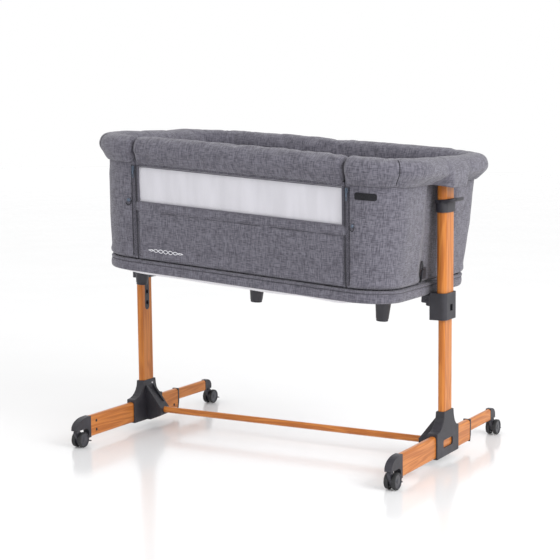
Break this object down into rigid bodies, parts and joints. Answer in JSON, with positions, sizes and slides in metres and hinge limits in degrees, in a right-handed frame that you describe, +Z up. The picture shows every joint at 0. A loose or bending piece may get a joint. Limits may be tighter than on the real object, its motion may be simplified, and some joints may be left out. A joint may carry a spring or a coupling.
{
  "type": "bassinet on stand",
  "caption": "Fabric bedside cradle with padded rim, mesh window and drop side, hung on telescopic posts that rise from castored feet; end heights differ so the bed tilts.",
  "frame": {"origin": "on the floor, under the middle of the whole object's box", "axes": "+X from the left post to the right post (the cradle's length), +Y from the drop side to the back, +Z up"},
  "size_m": [0.978, 0.6954, 0.8191],
  "materials": {
    "wood_film": "wood-grain film, satin",
    "black_plastic": "fine moulded texture",
    "wheel": "smooth moulded",
    "steel": "dark powder coat",
    "melange_fabric": "linen-look melange weave",
    "white_mesh": "fine open mesh",
    "white_fabric": "plain woven"
  },
  "bodies": {
    "stand": {"foot_tube_left": "wood_film", "foot_tube_right": "wood_film", "front_cap_left": "black_plastic", "front_cap_right": "black_plastic", "end_ring_left": "black_plastic", "end_ring_right": "black_plastic", "leg_bracket_left": "black_plastic", "leg_bracket_right": "black_plastic", "lower_post_left": "wood_film", "lower_post_right": "wood_film", "height_rack_left": "black_plastic", "height_rack_right": "black_plastic", "stretcher": "wood_film"},
    "extension_left": {"foot_extension_left": "wood_film", "rear_cap_left": "black_plastic"},
    "extension_right": {"foot_extension_right": "wood_film", "rear_cap_right": "black_plastic"},
    "castor_front_left": {"castor_front_left_housing": "black_plastic"},
    "wheels_front_left": {"castor_front_left_wheels": "wheel"},
    "pedal_front_left": {"castor_front_left_pedal": "black_plastic"},
    "castor_front_right": {"castor_front_right_housing": "black_plastic"},
    "wheels_front_right": {"castor_front_right_wheels": "wheel"},
    "pedal_front_right": {"castor_front_right_pedal": "black_plastic"},
    "castor_rear_left": {"castor_rear_left_housing": "black_plastic"},
    "wheels_rear_left": {"castor_rear_left_wheels": "wheel"},
    "pedal_rear_left": {"castor_rear_left_pedal": "black_plastic"},
    "castor_rear_right": {"castor_rear_right_housing": "black_plastic"},
    "wheels_rear_right": {"castor_rear_right_wheels": "wheel"},
    "pedal_rear_right": {"castor_rear_right_pedal": "black_plastic"},
    "lift_left": {"upper_tube_left": "wood_film", "post_plug_left": "black_plastic", "height_collar_left": "black_plastic"},
    "lever_left": {"release_lever_left": "black_plastic"},
    "bolt_left": {"lock_bolt_left": "steel"},
    "lift_right": {"upper_tube_right": "wood_film", "post_plug_right": "black_plastic", "height_collar_right": "black_plastic"},
    "lever_right": {"release_lever_right": "black_plastic"},
    "bolt_right": {"lock_bolt_right": "steel"},
    "cradle": {"base_frame": "steel", "base_board": "white_fabric", "base_skirt": "melange_fabric", "wall_fabric": "melange_fabric", "rim_frame": "steel", "rim_pad": "melange_fabric", "mattress": "white_fabric", "end_bracket_left": "black_plastic", "end_bracket_right": "black_plastic", "cradle_foot_front_left": "black_plastic", "cradle_foot_front_middle": "black_plastic", "cradle_foot_front_right": "black_plastic", "cradle_foot_back_left": "black_plastic", "cradle_foot_back_middle": "black_plastic", "cradle_foot_back_right": "black_plastic"},
    "drop_side": {"drop_panel": "melange_fabric", "drop_rail": "steel", "drop_rim_pad": "melange_fabric", "window_mesh": "white_mesh"},
    "zip_left": {"zip_slider_left": "steel"},
    "zip_right": {"zip_slider_right": "steel"}
  },
  "joints": [
    {"name": "foot_slide_left", "type": "slide", "parent": "stand", "child": "extension_left", "axis": [0, 1, 0], "range_m": [-0.12, 0.02]},
    {"name": "foot_slide_right", "type": "slide", "parent": "stand", "child": "extension_right", "axis": [0, 1, 0], "range_m": [-0.12, 0.02]},
    {"name": "castor_swivel_front_left", "type": "hinge", "parent": "stand", "child": "castor_front_left", "pos_m": [-0.45, -0.337, 0.045], "axis": [0, 0, 1], "continuous": true},
    {"name": "wheel_spin_front_left", "type": "hinge", "parent": "castor_front_left", "child": "wheels_front_left", "pos_m": [-0.45, -0.322, 0.02], "axis": [1, 0, 0], "continuous": true},
    {"name": "brake_pedal_front_left", "type": "hinge", "parent": "castor_front_left", "child": "pedal_front_left", "pos_m": [-0.45, -0.309, 0.021], "axis": [1, 0, 0], "range_deg": [-12, 0]},
    {"name": "castor_swivel_front_right", "type": "hinge", "parent": "stand", "child": "castor_front_right", "pos_m": [0.45, -0.337, 0.045], "axis": [0, 0, 1], "continuous": true},
    {"name": "wheel_spin_front_right", "type": "hinge", "parent": "castor_front_right", "child": "wheels_front_right", "pos_m": [0.45, -0.322, 0.02], "axis": [1, 0, 0], "continuous": true},
    {"name": "brake_pedal_front_right", "type": "hinge", "parent": "castor_front_right", "child": "pedal_front_right", "pos_m": [0.45, -0.309, 0.021], "axis": [1, 0, 0], "range_deg": [-12, 0]},
    {"name": "castor_swivel_rear_left", "type": "hinge", "parent": "extension_left", "child": "castor_rear_left", "pos_m": [-0.45, 0.296, 0.045], "axis": [0, 0, 1], "continuous": true},
    {"name": "wheel_spin_rear_left", "type": "hinge", "parent": "castor_rear_left", "child": "wheels_rear_left", "pos_m": [-0.45, 0.311, 0.02], "axis": [1, 0, 0], "continuous": true},
    {"name": "brake_pedal_rear_left", "type": "hinge", "parent": "castor_rear_left", "child": "pedal_rear_left", "pos_m": [-0.45, 0.324, 0.021], "axis": [1, 0, 0], "range_deg": [-12, 0]},
    {"name": "castor_swivel_rear_right", "type": "hinge", "parent": "extension_right", "child": "castor_rear_right", "pos_m": [0.45, 0.296, 0.045], "axis": [0, 0, 1], "continuous": true},
    {"name": "wheel_spin_rear_right", "type": "hinge", "parent": "castor_rear_right", "child": "wheels_rear_right", "pos_m": [0.45, 0.311, 0.02], "axis": [1, 0, 0], "continuous": true},
    {"name": "brake_pedal_rear_right", "type": "hinge", "parent": "castor_rear_right", "child": "pedal_rear_right", "pos_m": [0.45, 0.324, 0.021], "axis": [1, 0, 0], "range_deg": [-12, 0]},
    {"name": "height_right", "type": "slide", "parent": "stand", "child": "lift_right", "axis": [0, 0, 1], "range_m": [-0.03, 0.06]},
    {"name": "cradle_tilt", "type": "hinge", "parent": "lift_right", "child": "cradle", "pos_m": [0.4105, -0.019, 0.4045], "axis": [0, 1, 0], "range_deg": [-4.19, 0]},
    {"name": "height_left", "type": "slide", "parent": "lift_right", "child": "lift_left", "axis": [0, 0, 1], "range_m": [-0.0605, 0.0005]},
    {"name": "release_lever_left", "type": "slide", "parent": "lift_left", "child": "lever_left", "axis": [0, 0, 1], "range_m": [0, 0.012], "stiffness_N_per_m": 150, "springref_m": -0.01},
    {"name": "lock_bolt_left", "type": "slide", "parent": "lift_left", "child": "bolt_left", "axis": [1, 0, 0], "range_m": [0, 0.0081]},
    {"name": "release_lever_right", "type": "slide", "parent": "lift_right", "child": "lever_right", "axis": [0, 0, 1], "range_m": [0, 0.012], "stiffness_N_per_m": 150, "springref_m": -0.01},
    {"name": "lock_bolt_right", "type": "slide", "parent": "lift_right", "child": "bolt_right", "axis": [-1, 0, 0], "range_m": [0, 0.0081]},
    {"name": "drop_side_hinge", "type": "hinge", "parent": "cradle", "child": "drop_side", "pos_m": [0.00428, -0.2886, 0.47788], "axis": [0.9973, 0, -0.0731], "range_deg": [0, 160]},
    {"name": "zip_slide_left", "type": "slide", "parent": "cradle", "child": "zip_left", "axis": [-0.0182, 0.0454, -0.9988], "range_m": [0, 0.215]},
    {"name": "zip_slide_right", "type": "slide", "parent": "cradle", "child": "zip_right", "axis": [-0.0182, 0.0454, -0.9988], "range_m": [0, 0.215]}
  ],
  "couplings": [
    {"joint": "height_left", "follows": "cradle_tilt", "m_per_rad": 0.8203},
    {"joint": "lock_bolt_left", "follows": "release_lever_left", "ratio": 0.6667},
    {"joint": "lock_bolt_right", "follows": "release_lever_right", "ratio": 0.6667}
  ]
}
